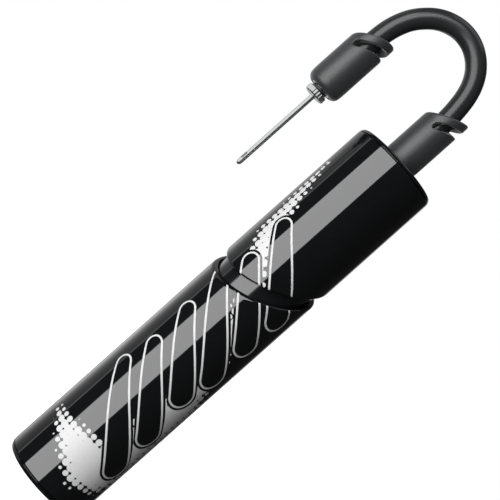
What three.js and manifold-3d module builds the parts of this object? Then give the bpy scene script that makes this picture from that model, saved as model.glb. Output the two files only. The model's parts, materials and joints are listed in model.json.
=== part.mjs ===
// A pocket hand pump for inflating balls. It is stored closed, standing on the end of its handle.
//
// Millimetres, +Z up. The origin is the centre of the handle's end face, and +Z runs along the
// barrel to the head. The hose leaves the head upwards, arches over to -X in the XZ plane, and
// its needle hangs beside the head.

import * as THREE from "three";
import { mergeVertices } from "three/addons/utils/BufferGeometryUtils.js";
import Module from "manifold-3d";

const wasm = await Module();
wasm.setup();

// ---------------------------------------------------------------- driving dimensions

const GAP = 0.3; // between two pieces that touch on the real pump
const BODY_RADIUS = 17;
const BODY_LENGTH = 160;
const SHELL_WALL = 1.5;
const SHELL_BORE = BODY_RADIUS - SHELL_WALL;
const EDGE_ROUND = 1.2;

const SEAM_FROM_END = 1.6; // where an end cap's rim meets the sleeve
const SKIRT_DEPTH = 7;
const SKIRT_RADIUS = SHELL_BORE - GAP;
const SKIRT_BORE = SKIRT_RADIUS - 1.5;

// The parting groove between handle and head is a slanted plane cut.
const GROOVE_LOW_Z = 100.35; // handle edge, where it crosses the axis
const GROOVE_HIGH_Z = 105.55; // head edge, where it crosses the axis
const GROOVE_SLOPE = 0.596;
const GROOVE_TURN = THREE.MathUtils.degToRad(46); // from +X towards +Y, the way the groove rises

const TUBE_RADIUS = 15;
const TUBE_BORE = 13.2;
const TUBE_START = 9.5;
const TUBE_END = 122;
const GUIDE_GROOVE = { low: 11.7, high: 17.3, radius: 14.3 };
const GLAND_TOP = 17;

const ROD_RADIUS = 3.9;
const ROD_START = 4.9;
const ROD_END = 103;
const SCREW_RADIUS = 1.4;
const SCREW_HOLE = 1.7;
const SCREW_HEAD = 3.3;
const ROD_HOLE = ROD_RADIUS + 0.4; // running clearance in the gland
const REBOUND_BUMPER = { radius: 8, height: 6.5 };

const PISTON_RADIUS = 12.8;
const PISTON_HEIGHT = 8;
const SEAL_SECTION = 2.4; // height of the floating piston seal
const SEAL_FLOAT = 0.9; // spare height in its groove

const CORE_START = ROD_END + GAP + PISTON_HEIGHT + 1;
const CORE_TOP = 152;
const CORE_FLANGE = SHELL_BORE - 0.2;
const CORE_WAIST = 9;
const CORE_HOLE = 1.5;
const CHAMBER = { start: 118, radius: 4.8 };
const SOCKET = { start: 140, end: 151, radius: 6.2, bore: 3.9 };
const FITTING_RADIUS = 3.6;
const FITTING_SHOULDER = { low: 153.2, high: 157, radius: 5 };
const BALL_RADIUS = 2;
const SEAT_TOP = 121.3;
const SEAT_HOLE = 1.4;

const HOSE_RADIUS = 3.7;
const BOOT_RADIUS = 6.8;
const BOOT_LENGTH = 24.5; // along its axis, to the middle of the slanted end face
const BOOT_SLOPE = 0.53;
const BOOT_SLOT = { low: 18.2, high: 21.1, start: -108, sweep: 200 }; // heights on the axis
const BOOT_FOOT_HOLE = 4.4;
const BOOT_CHAMBER = { low: 2.2, high: 14.8, radius: 5.35 };
const FERRULE_LENGTH = 5.6;
const CRIMP_RADIUS = 4.9; // of the ferrules and of the fittings that they clamp
const AIR_WAY = 1.2;

const PUMP_BOOT_Z = 159;
const NEEDLE_X = -36.5;
const NEEDLE_BOOT_Z = 157.7;
const NEEDLE_BOOT_TURN = THREE.MathUtils.degToRad(-20);
const NEEDLE_TIP_Z = 120;
const NEEDLE_RADIUS = 1;
const NEEDLE_BORE = 0.6;
const OUTLET = { length: 1.6, width: 0.7, rise: 3.1, turn: THREE.MathUtils.degToRad(-115) };
const COLLAR = { low: 154.5, high: 157, radius: 3.9, notches: 16 };
const NEEDLE_THREAD = { radius: 2.9, top: 163.4 };
const NEEDLE_SEAL = { bore: 2.4, radius: 3.1 };

// The hose's middle line, from the pump fitting over to the needle socket.
const HOSE_ROUTE = [
  [0, 163.8],
  [0, 170],
  [0, 177],
  [-0.1, 183.3],
  [-0.7, 188.6],
  [-1.6, 193.1],
  [-3.2, 197.4],
  [-5.8, 201.3],
  [-9.4, 204.4],
  [-13.8, 206.4],
  [-18.7, 206.9],
  [-23.5, 205.8],
  [-27.8, 203.4],
  [-31.3, 199.8],
  [-33.7, 196.1],
  [-35.2, 192.2],
  [-36.1, 188.3],
  [-36.5, 183.5],
  [-36.5, 177],
  [-36.5, 171.5],
  [-36.5, 166.3],
];

const SHELL_SIDES = 32;
const SMALL_SIDES = 20;
const HOSE_SIDES = 10;
const HOSE_STEPS = 30;

// ---------------------------------------------------------------- shape helpers

// Revolves an outline of [radius, z] points about +Z. The outline runs anticlockwise, seen with
// radius to the right and z up; it starts and ends on the axis, or closes on itself.
function turned(outline, sides = SHELL_SIDES) {
  const points = outline.map(([radius, z]) => new THREE.Vector2(radius, z));
  const onAxis = outline[0][0] === 0;
  if (!onAxis) points.push(points[0].clone());
  return new THREE.LatheGeometry(points, sides).rotateX(Math.PI / 2);
}

// A ring with a rectangular section.
function ring(inner, outer, low, high, sides = SMALL_SIDES) {
  const outline = [
    [inner, low],
    [outer, low],
    [outer, high],
    [inner, high],
  ];
  return turned(outline, sides);
}

// A ring with chamfered edges on its outside, as a moulded seal has.
function sealRing(inner, outer, low, high, sides = SMALL_SIDES) {
  const chamfer = Math.min(high - low, outer - inner) / 4;
  const outline = [
    [inner, low],
    [outer - chamfer, low],
    [outer, low + chamfer],
    [outer, high - chamfer],
    [outer - chamfer, high],
    [inner, high],
  ];
  return turned(outline, sides);
}

// Points of a quarter round about a centre, from one angle to another in degrees.
function round(centreRadius, centreZ, size, from, to, steps = 3) {
  return Array.from({ length: steps + 1 }, (_, i) => {
    const angle = THREE.MathUtils.degToRad(from + ((to - from) * i) / steps);
    return [centreRadius + size * Math.cos(angle), centreZ + size * Math.sin(angle)];
  });
}

// Slants one end of a turned piece: points that pass the test are raised along the slope.
function slanted(geometry, isEnd, slope, turn) {
  const position = geometry.getAttribute("position");
  for (let i = 0; i < position.count; i++) {
    const z = position.getZ(i);
    const along = position.getX(i) * Math.cos(turn) + position.getY(i) * Math.sin(turn);
    if (isEnd(z)) position.setZ(i, z + slope * along);
  }
  return geometry;
}

function toSolid(geometry) {
  const bare = geometry.index ? geometry.toNonIndexed() : geometry.clone();
  bare.deleteAttribute("normal");
  bare.deleteAttribute("uv");
  const merged = mergeVertices(bare, 1e-4);
  const mesh = new wasm.Mesh({
    numProp: 3,
    vertProperties: merged.getAttribute("position").array,
    triVerts: new Uint32Array(merged.index.array),
  });
  return new wasm.Manifold(mesh);
}

function toGeometry(solid) {
  const mesh = solid.getMesh();
  const geometry = new THREE.BufferGeometry();
  geometry.setAttribute("position", new THREE.BufferAttribute(mesh.vertProperties, 3));
  geometry.setIndex(new THREE.BufferAttribute(mesh.triVerts, 1));
  geometry.computeVertexNormals();
  return geometry;
}

function cut(geometry, ...tools) {
  const solid = tools.reduce((rest, tool) => rest.subtract(toSolid(tool)), toSolid(geometry));
  return toGeometry(solid);
}

function joined(...geometries) {
  return toGeometry(geometries.map(toSolid).reduce((all, next) => all.add(next)));
}

// An upright cylinder between two heights.
function post(radius, low, high, sides = SMALL_SIDES) {
  const geometry = new THREE.CylinderGeometry(radius, radius, high - low, sides);
  return geometry.rotateX(Math.PI / 2).translate(0, 0, (low + high) / 2);
}

// ---------------------------------------------------------------- materials

const FINISHES = {
  shell: { color: 0x0c0c0d, roughness: 0.12, metalness: 0 },
  plastic: { color: 0x141415, roughness: 0.45, metalness: 0 },
  nylon: { color: 0x2c2c2e, roughness: 0.6, metalness: 0 },
  rubber: { color: 0x26272a, roughness: 0.75, metalness: 0 },
  seal: { color: 0x101010, roughness: 0.6, metalness: 0 },
  hose: { color: 0x1b1c1e, roughness: 0.5, metalness: 0 },
  brass: { color: 0xb08d4a, roughness: 0.3, metalness: 1 },
  nickel: { color: 0xc9cbcc, roughness: 0.15, metalness: 1 },
  steel: { color: 0x8f9294, roughness: 0.35, metalness: 1 },
};

function piece(name, finish, geometry) {
  const mesh = new THREE.Mesh(geometry, new THREE.MeshStandardMaterial(FINISHES[finish]));
  mesh.name = name;
  return mesh;
}

// ---------------------------------------------------------------- handle

function handleSleeve() {
  const top = GROOVE_LOW_Z - EDGE_ROUND;
  const outline = [
    [SHELL_BORE, SEAM_FROM_END + GAP],
    [BODY_RADIUS, SEAM_FROM_END + GAP],
    ...round(BODY_RADIUS - EDGE_ROUND, top, EDGE_ROUND, 0, 90),
    [SHELL_BORE, GROOVE_LOW_Z],
  ];
  const isTop = (z) => z > GROOVE_LOW_Z / 2;
  return slanted(turned(outline), isTop, GROOVE_SLOPE, GROOVE_TURN);
}

// The cap closes the handle and holds the rod in a socket, with a screw from below.
const CAP_RECESS_TOP = 3;
const ROD_SOCKET = { low: 4.6, high: 7.5, radius: ROD_RADIUS + GAP, outside: 7 };

function handleEndCap() {
  const floorTop = SEAM_FROM_END + GAP;
  const outline = [
    [SCREW_HEAD + 0.7, 0],
    ...round(BODY_RADIUS - EDGE_ROUND, EDGE_ROUND, EDGE_ROUND, -90, 0),
    [BODY_RADIUS, SEAM_FROM_END],
    [SKIRT_RADIUS, SEAM_FROM_END],
    [SKIRT_RADIUS, SEAM_FROM_END + SKIRT_DEPTH],
    [SKIRT_BORE, SEAM_FROM_END + SKIRT_DEPTH],
    [SKIRT_BORE, floorTop],
    [ROD_SOCKET.outside, floorTop],
    [ROD_SOCKET.outside, ROD_SOCKET.high],
    [ROD_SOCKET.radius, ROD_SOCKET.high],
    [ROD_SOCKET.radius, ROD_SOCKET.low],
    [SCREW_HOLE, ROD_SOCKET.low],
    [SCREW_HOLE, CAP_RECESS_TOP],
    [SCREW_HEAD + 0.7, CAP_RECESS_TOP],
  ];
  return turned(outline);
}

// A cross-head screw standing on its head; its shank points up from z = 0.
function screw(headHeight, shankLength) {
  const outline = [
    [0, 0],
    [SCREW_HEAD * 0.8, 0],
    [SCREW_HEAD, headHeight * 0.4],
    [SCREW_HEAD, headHeight],
    [SCREW_RADIUS, headHeight],
    [SCREW_RADIUS, headHeight + shankLength - 1],
    [SCREW_RADIUS * 0.5, headHeight + shankLength],
    [0, headHeight + shankLength],
  ];
  const slot = new THREE.BoxGeometry(SCREW_HEAD * 1.1, 0.7, headHeight);
  const cross = slot.clone().rotateZ(Math.PI / 2);
  return cut(turned(outline, 16), slot, cross);
}

function pistonRod() {
  const holeDepth = 9;
  const outline = [
    [0, ROD_START + holeDepth],
    [SCREW_HOLE, ROD_START + holeDepth],
    [SCREW_HOLE, ROD_START],
    [ROD_RADIUS, ROD_START],
    [ROD_RADIUS, ROD_END],
    [SCREW_HOLE, ROD_END],
    [SCREW_HOLE, ROD_END - holeDepth],
    [0, ROD_END - holeDepth],
  ];
  return turned(outline, SMALL_SIDES);
}

const PISTON_Z = ROD_END + GAP;
const PISTON_GROOVE = {
  low: PISTON_Z + 2.2,
  high: PISTON_Z + 2.2 + SEAL_SECTION + SEAL_FLOAT + GAP,
  radius: 10.4,
};
const PISTON_RECESS = { low: PISTON_Z + 5.4, radius: SCREW_HEAD + 0.4 };

function pistonHead() {
  const top = PISTON_Z + PISTON_HEIGHT;
  const outline = [
    [SCREW_HOLE, PISTON_Z],
    [PISTON_RADIUS, PISTON_Z],
    [PISTON_RADIUS, PISTON_GROOVE.low],
    [PISTON_GROOVE.radius, PISTON_GROOVE.low],
    [PISTON_GROOVE.radius, PISTON_GROOVE.high],
    [PISTON_RADIUS, PISTON_GROOVE.high],
    [PISTON_RADIUS, top],
    [PISTON_RECESS.radius, top],
    [PISTON_RECESS.radius, PISTON_RECESS.low],
    [SCREW_HOLE, PISTON_RECESS.low],
  ];
  return turned(outline, 24);
}

function pistonSeal() {
  const low = PISTON_GROOVE.low + GAP / 2;
  return sealRing(PISTON_GROOVE.radius + GAP, TUBE_BORE - 0.15, low, low + SEAL_SECTION, 24);
}

function handleGroup() {
  const group = new THREE.Group();
  const rodScrew = piece("rod_screw", "steel", screw(1.5, 10));
  rodScrew.position.z = 0.6;
  const washer = ring(SCREW_HOLE, SCREW_HEAD, 2.3, CAP_RECESS_TOP - 0.2, 16);
  const bumperLow = ROD_SOCKET.high + GAP;
  const baseBumper = ring(ROD_RADIUS + GAP, ROD_SOCKET.outside, bumperLow, TUBE_START - GAP);
  const reboundBumper = ring(
    ROD_RADIUS + GAP,
    REBOUND_BUMPER.radius,
    ROD_END - REBOUND_BUMPER.height,
    ROD_END,
  );
  const pistonScrew = piece("piston_screw", "steel", screw(1.5, 8).rotateX(Math.PI));
  pistonScrew.position.z = PISTON_RECESS.low + GAP + 1.5;
  group.add(
    piece("handle_sleeve", "shell", handleSleeve()),
    piece("handle_end_cap", "shell", handleEndCap()),
    rodScrew,
    piece("rod_washer", "steel", washer),
    piece("piston_rod", "steel", pistonRod()),
    piece("base_bumper", "rubber", baseBumper),
    piece("rebound_bumper", "rubber", reboundBumper),
    piece("piston_head", "nylon", pistonHead()),
    piece("piston_seal", "seal", pistonSeal()),
    pistonScrew,
  );
  return group;
}

// ---------------------------------------------------------------- barrel

function barrelTube() {
  const outline = [
    [TUBE_BORE, TUBE_START],
    [TUBE_RADIUS, TUBE_START],
    [TUBE_RADIUS, GUIDE_GROOVE.low],
    [GUIDE_GROOVE.radius, GUIDE_GROOVE.low],
    [GUIDE_GROOVE.radius, GUIDE_GROOVE.high],
    [TUBE_RADIUS, GUIDE_GROOVE.high],
    [TUBE_RADIUS, TUBE_END],
    [TUBE_BORE, TUBE_END],
  ];
  return turned(outline);
}

// The guide ring is a split bearing band round the foot of the tube.
function guideRing() {
  const band = ring(
    GUIDE_GROOVE.radius + GAP,
    SHELL_BORE - 0.2,
    GUIDE_GROOVE.low + GAP,
    GUIDE_GROOVE.high - GAP,
    SHELL_SIDES,
  );
  const height = GUIDE_GROOVE.high - GUIDE_GROOVE.low;
  const split = new THREE.BoxGeometry(3, 1.2, height);
  split.rotateZ(GROOVE_TURN);
  const reach = GUIDE_GROOVE.radius + 0.7;
  split.translate(
    reach * Math.cos(GROOVE_TURN),
    reach * Math.sin(GROOVE_TURN),
    (GUIDE_GROOVE.low + GUIDE_GROOVE.high) / 2,
  );
  return cut(band, split);
}

const WIPER_POCKET = { low: 12, high: 14.4, radius: 6 };
const VENTS = { count: 4, radius: 1.3, reach: 9.4 };

// The gland closes the foot of the tube round the rod, with four holes that let air in behind
// the piston.
function glandCap() {
  const outline = [
    [ROD_HOLE, TUBE_START],
    [TUBE_BORE - 0.2, TUBE_START],
    [TUBE_BORE - 0.2, GLAND_TOP],
    [ROD_HOLE, GLAND_TOP],
    [ROD_HOLE, WIPER_POCKET.high],
    [WIPER_POCKET.radius, WIPER_POCKET.high],
    [WIPER_POCKET.radius, WIPER_POCKET.low],
    [ROD_HOLE, WIPER_POCKET.low],
  ];
  const vents = Array.from({ length: VENTS.count }, (_, i) => {
    const hole = post(VENTS.radius, TUBE_START - 1, GLAND_TOP + 1, 10);
    return hole.translate(VENTS.reach, 0, 0).rotateZ((i * 2 * Math.PI) / VENTS.count);
  });
  return cut(turned(outline, SMALL_SIDES), ...vents);
}

function rodWiper() {
  const low = WIPER_POCKET.low + GAP;
  return sealRing(ROD_RADIUS + 0.25, WIPER_POCKET.radius - GAP, low, WIPER_POCKET.high - GAP);
}

const HEAD_SEAL = { low: 116.6, high: 119.2, radius: 11.4 };

// The core plugs the tube, carries the valve and the hose socket, and its flanges hold the
// head sleeve.
function headCore() {
  const spigot = TUBE_BORE - 0.2;
  const shoulder = TUBE_END + GAP;
  const outline = [
    [CORE_HOLE, CORE_START],
    [spigot, CORE_START],
    [spigot, HEAD_SEAL.low],
    [HEAD_SEAL.radius, HEAD_SEAL.low],
    [HEAD_SEAL.radius, HEAD_SEAL.high],
    [spigot, HEAD_SEAL.high],
    [spigot, shoulder],
    [CORE_FLANGE, shoulder],
    [CORE_FLANGE, shoulder + 3],
    [CORE_WAIST, shoulder + 3],
    [CORE_WAIST, CORE_TOP - 5],
    [CORE_FLANGE, CORE_TOP - 5],
    [CORE_FLANGE, CORE_TOP - 2],
    [SKIRT_BORE - GAP, CORE_TOP - 2],
    [SKIRT_BORE - GAP, CORE_TOP],
    [SOCKET.radius + GAP, CORE_TOP],
    [SOCKET.radius + GAP, SOCKET.start - GAP],
    [CHAMBER.radius, SOCKET.start - GAP],
    [CHAMBER.radius, CHAMBER.start],
    [CORE_HOLE, CHAMBER.start],
  ];
  return turned(outline, 24);
}

function headSleeve() {
  const bottom = GROOVE_HIGH_Z + EDGE_ROUND;
  const seam = BODY_LENGTH - SEAM_FROM_END;
  const outline = [
    [SHELL_BORE, GROOVE_HIGH_Z],
    ...round(BODY_RADIUS - EDGE_ROUND, bottom, EDGE_ROUND, -90, 0),
    [BODY_RADIUS, seam],
    [SHELL_BORE, seam],
  ];
  const isBottom = (z) => z < (GROOVE_HIGH_Z + BODY_LENGTH) / 2;
  return slanted(turned(outline), isBottom, GROOVE_SLOPE, GROOVE_TURN);
}

function headEndCap() {
  const hole = BOOT_RADIUS + GAP;
  const seam = BODY_LENGTH - SEAM_FROM_END + GAP;
  const outline = [
    [hole, seam - 0.9],
    [SKIRT_BORE, seam - 0.9],
    [SKIRT_BORE, CORE_TOP + 0.5],
    [SKIRT_RADIUS, CORE_TOP + 0.5],
    [SKIRT_RADIUS, seam],
    [BODY_RADIUS, seam],
    ...round(BODY_RADIUS - EDGE_ROUND, BODY_LENGTH - EDGE_ROUND, EDGE_ROUND, 0, 90),
    [hole + 0.5, BODY_LENGTH],
    [hole, BODY_LENGTH - 0.5],
  ];
  return turned(outline);
}

function valveSeat() {
  return ring(SEAT_HOLE, CHAMBER.radius - GAP, CHAMBER.start + GAP, SEAT_TOP, 16);
}

const BALL_Z = SEAT_TOP + Math.sqrt(BALL_RADIUS ** 2 - SEAT_HOLE ** 2) + 0.15;
const RETAINER = { low: 131.2, high: 137.9, hole: 1.2 };

// A helix about +Z between two heights.
class Helix extends THREE.Curve {
  constructor(radius, low, high, turns) {
    super();
    Object.assign(this, { radius, low, high, turns });
  }
  getPoint(t, target = new THREE.Vector3()) {
    const angle = t * this.turns * 2 * Math.PI;
    const z = THREE.MathUtils.lerp(this.low, this.high, t);
    return target.set(this.radius * Math.cos(angle), this.radius * Math.sin(angle), z);
  }
}

// A bar of round section along a curve.
function bar(curve, radius, sides, steps) {
  const section = new THREE.Shape();
  for (let i = 0; i < sides; i++) {
    const angle = (i / sides) * 2 * Math.PI;
    const x = radius * Math.cos(angle);
    const y = radius * Math.sin(angle);
    if (i === 0) section.moveTo(x, y);
    else section.lineTo(x, y);
  }
  section.closePath();
  return new THREE.ExtrudeGeometry(section, { steps, bevelEnabled: false, extrudePath: curve });
}

function valveSpring() {
  const wire = 0.2;
  const low = BALL_Z + BALL_RADIUS + wire + 0.1;
  return bar(new Helix(1.6, low, RETAINER.low - wire - 0.1, 4), wire, 5, 48);
}

function barrelGroup() {
  const group = new THREE.Group();
  const headSeal = sealRing(
    HEAD_SEAL.radius + GAP,
    TUBE_BORE - 0.15,
    HEAD_SEAL.low + GAP,
    HEAD_SEAL.high - GAP,
    24,
  );
  const ball = new THREE.SphereGeometry(BALL_RADIUS, 12, 8).rotateX(Math.PI / 2);
  ball.translate(0, 0, BALL_Z);
  const retainer = ring(RETAINER.hole, CHAMBER.radius - GAP, RETAINER.low, RETAINER.high, 16);
  const socketSeal = ring(CORE_HOLE, CHAMBER.radius - GAP, RETAINER.high + 0.3, 139.4, 16);
  const socket = ring(SOCKET.bore, SOCKET.radius, SOCKET.start, SOCKET.end);
  group.add(
    piece("barrel_tube", "shell", barrelTube()),
    piece("guide_ring", "nylon", guideRing()),
    piece("gland_cap", "plastic", glandCap()),
    piece("rod_wiper", "seal", rodWiper()),
    piece("head_core", "plastic", headCore()),
    piece("head_seal", "seal", headSeal),
    piece("head_sleeve", "shell", headSleeve()),
    piece("head_end_cap", "shell", headEndCap()),
    piece("valve_seat", "brass", valveSeat()),
    piece("valve_ball", "steel", ball),
    piece("valve_spring", "steel", valveSpring()),
    piece("valve_retainer", "brass", retainer),
    piece("socket_seal", "seal", socketSeal),
    piece("hose_socket", "brass", socket),
  );
  return group;
}

// ---------------------------------------------------------------- hose and its boots

// The boot's slot runs parallel to the slanted end face, half way round, and breaks through
// to the hose. It starts in a round end at an angle from +X.
function bootSlot() {
  const start = THREE.MathUtils.degToRad(BOOT_SLOT.start);
  const end = THREE.MathUtils.degToRad(BOOT_SLOT.start + BOOT_SLOT.sweep);
  const inner = HOSE_RADIUS - 0.5;
  const outer = BOOT_RADIUS + 2;
  const section = new THREE.Shape();
  section.absarc(0, 0, outer, start, end, false);
  section.absarc(0, 0, inner, end, start, true);
  section.closePath();
  const height = BOOT_SLOT.high - BOOT_SLOT.low;
  const middle = (BOOT_SLOT.high + BOOT_SLOT.low) / 2;
  const depth = { depth: height, bevelEnabled: false, curveSegments: 12 };
  const sector = new THREE.ExtrudeGeometry(section, depth);
  sector.translate(0, 0, BOOT_SLOT.low);
  slanted(sector, () => true, BOOT_SLOPE, 0);
  const rounds = [start, end].map((angle) => {
    const reach = (inner + outer) / 2;
    const drill = new THREE.CylinderGeometry(height / 2, height / 2, outer - inner, 12);
    drill.rotateZ(Math.PI / 2).translate(reach, 0, 0).rotateZ(angle);
    const rise = BOOT_SLOPE * BOOT_RADIUS * Math.cos(angle);
    return drill.translate(0, 0, middle + rise);
  });
  return joined(sector, ...rounds);
}

// One rubber boot, standing on z = 0, its end face slanted up towards +X.
function boot() {
  const footRound = 2.2;
  const endRound = 0.9;
  const bore = HOSE_RADIUS + 0.35;
  const outline = [
    [BOOT_FOOT_HOLE, 0],
    ...round(BOOT_RADIUS - footRound, footRound, footRound, -90, 0),
    ...round(BOOT_RADIUS - endRound, BOOT_LENGTH - endRound, endRound, 0, 90, 2),
    [bore, BOOT_LENGTH],
    [bore, BOOT_CHAMBER.high],
    [BOOT_CHAMBER.radius, BOOT_CHAMBER.high],
    [BOOT_CHAMBER.radius, BOOT_CHAMBER.low],
    [BOOT_FOOT_HOLE, BOOT_CHAMBER.low],
  ];
  const isEnd = (z) => z > BOOT_CHAMBER.high + 1;
  const body = slanted(turned(outline, 24), isEnd, BOOT_SLOPE, 0);
  return cut(body, bootSlot());
}

function hose() {
  const points = HOSE_ROUTE.map(([x, z]) => new THREE.Vector3(x, 0, z));
  return bar(new THREE.CatmullRomCurve3(points), HOSE_RADIUS, HOSE_SIDES, HOSE_STEPS);
}

// A turned brass stub that screws into the head and holds the hose's end.
function hoseFitting() {
  const hoseStart = HOSE_ROUTE[0][1];
  const outline = [
    [AIR_WAY, SOCKET.start + GAP],
    [FITTING_RADIUS, SOCKET.start + GAP],
    [FITTING_RADIUS, FITTING_SHOULDER.low],
    [FITTING_SHOULDER.radius, FITTING_SHOULDER.low],
    [FITTING_SHOULDER.radius, FITTING_SHOULDER.high],
    [BOOT_FOOT_HOLE - GAP, FITTING_SHOULDER.high],
    [BOOT_FOOT_HOLE - GAP, PUMP_BOOT_Z + BOOT_CHAMBER.low + GAP],
    [CRIMP_RADIUS, PUMP_BOOT_Z + BOOT_CHAMBER.low + GAP],
    [CRIMP_RADIUS, hoseStart - GAP],
    [AIR_WAY, hoseStart - GAP],
  ];
  return turned(outline, SMALL_SIDES);
}

function ferrule(low) {
  return sealRing(HOSE_RADIUS + GAP, CRIMP_RADIUS, low, low + FERRULE_LENGTH);
}

function needleSocket() {
  const hoseEnd = HOSE_ROUTE.at(-1)[1];
  const bore = NEEDLE_THREAD.radius + 0.25;
  const floorTop = NEEDLE_BOOT_Z + BOOT_CHAMBER.low + GAP;
  const outline = [
    [bore, NEEDLE_BOOT_Z + GAP],
    [BOOT_FOOT_HOLE - GAP, NEEDLE_BOOT_Z + GAP],
    [BOOT_FOOT_HOLE - GAP, floorTop],
    [CRIMP_RADIUS, floorTop],
    [CRIMP_RADIUS, hoseEnd - GAP],
    [AIR_WAY, hoseEnd - GAP],
    [AIR_WAY, NEEDLE_THREAD.top + GAP],
    [bore, NEEDLE_THREAD.top + GAP],
  ];
  return turned(outline, SMALL_SIDES);
}

function hoseGroup() {
  const group = new THREE.Group();
  const pumpBoot = piece("pump_boot", "rubber", boot());
  pumpBoot.position.z = PUMP_BOOT_Z;
  const needleBoot = piece("needle_boot", "rubber", boot());
  needleBoot.position.set(NEEDLE_X, 0, NEEDLE_BOOT_Z);
  needleBoot.rotation.z = NEEDLE_BOOT_TURN;
  const needleFerrule = piece("needle_ferrule", "steel", ferrule(HOSE_ROUTE.at(-1)[1] + 0.1));
  needleFerrule.position.x = NEEDLE_X;
  const socket = piece("needle_socket", "nickel", needleSocket());
  socket.position.x = NEEDLE_X;
  const fittingSeal = sealRing(
    FITTING_RADIUS + GAP,
    CRIMP_RADIUS,
    SOCKET.end + GAP,
    FITTING_SHOULDER.low - GAP,
  );
  group.add(
    piece("fitting_seal", "seal", fittingSeal),
    piece("hose_fitting", "brass", hoseFitting()),
    piece("pump_ferrule", "steel", ferrule(HOSE_ROUTE[0][1] + 0.1)),
    pumpBoot,
    piece("hose", "hose", hose()),
    needleBoot,
    needleFerrule,
    socket,
  );
  return group;
}

// ---------------------------------------------------------------- needle

function needleTube() {
  const top = NEEDLE_THREAD.top - 3;
  const outline = [
    ...round(0, NEEDLE_TIP_Z + NEEDLE_RADIUS, NEEDLE_RADIUS, -90, 0),
    [NEEDLE_RADIUS, top],
    [NEEDLE_BORE, top],
    [NEEDLE_BORE, NEEDLE_TIP_Z + 2],
    [0, NEEDLE_TIP_Z + 2],
  ];
  outline[0][0] = 0;
  const outlet = new THREE.BoxGeometry(2 * NEEDLE_RADIUS, OUTLET.width, OUTLET.length);
  outlet.translate(NEEDLE_RADIUS, 0, NEEDLE_TIP_Z + OUTLET.rise).rotateZ(OUTLET.turn);
  return cut(turned(outline, 12), outlet);
}

// The collar is knurled, so that fingers can screw the needle in.
function needleBase() {
  const knurl = new THREE.Shape();
  const corners = COLLAR.notches * 2;
  for (let i = 0; i < corners; i++) {
    const radius = i % 2 ? COLLAR.radius - 0.35 : COLLAR.radius;
    const angle = (i / corners) * 2 * Math.PI;
    if (i === 0) knurl.moveTo(radius, 0);
    else knurl.lineTo(radius * Math.cos(angle), radius * Math.sin(angle));
  }
  knurl.closePath();
  const height = COLLAR.high - COLLAR.low;
  const collar = new THREE.ExtrudeGeometry(knurl, { depth: height, bevelEnabled: false });
  collar.translate(0, 0, COLLAR.low);
  const stub = post(NEEDLE_SEAL.bore - 0.2, COLLAR.high - 0.5, NEEDLE_BOOT_Z + 0.6);
  const thread = post(NEEDLE_THREAD.radius, NEEDLE_BOOT_Z + 0.6, NEEDLE_THREAD.top);
  const base = joined(collar, stub, thread);
  const bore = post(NEEDLE_RADIUS + 0.25, COLLAR.low - 1, NEEDLE_THREAD.top + 1, 12);
  return cut(base, bore);
}

function needleGroup() {
  const group = new THREE.Group();
  const seal = sealRing(NEEDLE_SEAL.bore, NEEDLE_SEAL.radius, COLLAR.high + 0.1, NEEDLE_BOOT_Z);
  group.add(
    piece("needle_seal", "seal", seal),
    piece("needle_base", "nickel", needleBase()),
    piece("needle_tube", "nickel", needleTube()),
  );
  group.position.x = NEEDLE_X;
  return group;
}

const pump = new THREE.Group();
pump.add(handleGroup(), barrelGroup(), hoseGroup(), needleGroup());

export default pump;
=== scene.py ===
# A pocket pump for sports balls, closed and standing on the end of its handle, in a studio.
#
# Metres, +Z up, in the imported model's frame: +Z runs along the barrel, and the hose arches over
# to -X. Outlines and points are written in millimetres and scaled when a mesh is made. The
# angles of the print, the needle's outlet and the lights are measured from -Y towards +X, and
# those of the groove and the boots' slots from +X towards +Y.

import json
import math

import bpy
from mathutils import Matrix, Vector


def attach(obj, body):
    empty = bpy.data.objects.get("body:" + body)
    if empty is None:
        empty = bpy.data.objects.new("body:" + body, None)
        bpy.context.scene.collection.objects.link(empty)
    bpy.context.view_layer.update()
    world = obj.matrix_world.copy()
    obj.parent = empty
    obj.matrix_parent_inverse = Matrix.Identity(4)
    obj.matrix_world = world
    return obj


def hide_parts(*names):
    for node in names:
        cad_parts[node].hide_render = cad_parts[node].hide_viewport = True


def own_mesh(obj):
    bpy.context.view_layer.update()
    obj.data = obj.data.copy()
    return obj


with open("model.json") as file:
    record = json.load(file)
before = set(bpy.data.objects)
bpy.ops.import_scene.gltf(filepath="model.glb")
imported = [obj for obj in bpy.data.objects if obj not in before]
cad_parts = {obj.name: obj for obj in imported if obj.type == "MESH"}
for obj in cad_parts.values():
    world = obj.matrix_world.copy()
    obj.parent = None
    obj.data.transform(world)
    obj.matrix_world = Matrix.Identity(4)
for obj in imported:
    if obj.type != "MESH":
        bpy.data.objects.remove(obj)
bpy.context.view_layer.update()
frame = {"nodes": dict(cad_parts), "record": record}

MM = 0.001

# ---------------------------------------------------------------- dimensions, in mm

BODY_RADIUS = 17.0
SHELL_BORE = 15.5
BODY_LENGTH = 160.0
EDGE_ROUND = 1.2
RIM_SET_BACK = 0.75
RIM_ROUND = 0.5
SEAM = 1.6
SEAM_GAP = 0.3
SEAM_SET_BACK = 0.08
SMALL_ROUND = 0.25
SKIRT_RADIUS = 15.2
SKIRT_BORE = 13.7
SKIRT_ROUND = 0.4
HANDLE_SKIRT_HEIGHT = 7
HEAD_SKIRT_LOW = 152.5
BOSS_RADIUS = 7
BOSS_TOP = 7.5
ROD_SOCKET_RADIUS = 4.2
ROD_SOCKET_LOW = 4.6
SCREW_HOLE_RADIUS = 1.7
SCREW_RECESS_RADIUS = 4.0
SCREW_RECESS_TOP = 3
HOSE_HOLE_RADIUS = 7.1
TUBE_RADIUS = 15
TUBE_BORE = 13.2
TUBE_LOW = 9.5
TUBE_HIGH = 122
TUBE_EDGE_ROUND = 0.3
GUIDE_SEAT_RADIUS = 14.3
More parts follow.
